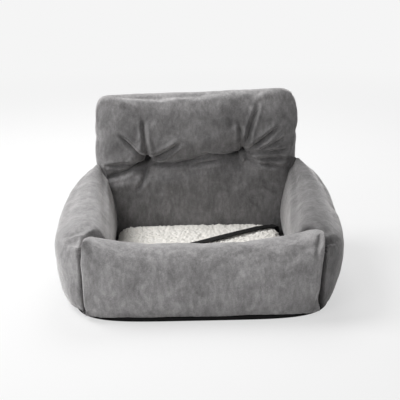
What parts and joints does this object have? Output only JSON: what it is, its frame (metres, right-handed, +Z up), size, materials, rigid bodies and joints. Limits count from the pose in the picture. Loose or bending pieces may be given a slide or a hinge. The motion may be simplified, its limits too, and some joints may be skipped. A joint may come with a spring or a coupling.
{
  "type": "dog car seat",
  "caption": "Plush dog car seat with an upright tufted back cushion, side bolsters, a low front bolster, a lift-out pile mat and a safety tether.",
  "frame": {"origin": "on the surface that the seat stands on, under the middle of the cabin between the side bolsters", "axes": "+Z up, +X to the right of someone who looks at the front, +Y from the front bolster to the back cushion"},
  "size_m": [0.5848, 0.5201, 0.3581],
  "materials": {
    "plush": "short brushed grey plush with a soft sheen",
    "fibre": "loose white polyester fibre",
    "nylon": "satin black nylon",
    "foam": "cream foam board",
    "liner_cloth": "plain woven dark grey cloth",
    "non_slip_cloth": "black non-slip cloth with small grip dots",
    "webbing": "woven black webbing",
    "sherpa_pile": "off-white curly pile",
    "snap_metal": "polished nickel plate",
    "spring_steel": "bright spring wire",
    "thread": "waxed grey thread"
  },
  "bodies": {
    "seat": {"base_board": "foam", "base_foam": "foam", "base_liner": "liner_cloth", "base_underside": "non_slip_cloth", "front_bolster_cover": "plush", "front_bolster_fill": "fibre", "left_bolster_cover": "plush", "left_bolster_fill": "fibre", "right_bolster_cover": "plush", "right_bolster_fill": "fibre", "back_cushion_cover": "plush", "back_cushion_fill": "fibre", "tuft_tie_left": "thread", "tuft_tie_right": "thread", "belt_loop_left": "webbing", "belt_loop_right": "webbing", "back_zip_chain": "nylon", "tether_strap": "webbing"},
    "mat": {"mat_pile_cover": "sherpa_pile", "mat_fill": "fibre", "mat_underside": "liner_cloth", "snap_eye": "snap_metal"},
    "snap": {"snap_body": "snap_metal", "snap_spring": "spring_steel"},
    "bolt": {"snap_bolt": "snap_metal"},
    "zip_slider": {"back_zip_slider": "nylon"},
    "zip_pull": {"back_zip_pull": "nylon"}
  },
  "joints": [
    {"name": "mat_lift", "type": "slide", "parent": "seat", "child": "mat", "axis": [0, 0, 1], "range_m": [0, 0.3], "deforming": ["tether_strap"]},
    {"name": "snap_swivel", "type": "hinge", "parent": "mat", "child": "snap", "pos_m": [-0.0836, -0.0344, 0.069], "axis": [-0.8572, -0.515, 0], "range_deg": [0, 180]},
    {"name": "snap_bolt_slide", "type": "slide", "parent": "snap", "child": "bolt", "axis": [0.8572, 0.515, 0], "range_m": [0, 0.007], "stiffness_N_per_m": 150, "springref_m": -0.006, "deforming": ["snap_spring"]},
    {"name": "zip_slide", "type": "slide", "parent": "seat", "child": "zip_slider", "axis": [1, 0, 0], "range_m": [0, 0.3]},
    {"name": "zip_pull_hinge", "type": "hinge", "parent": "zip_slider", "child": "zip_pull", "pos_m": [-0.15, 0.23361, 0.046], "axis": [0, 0, 1], "range_deg": [0, 150]}
  ]
}
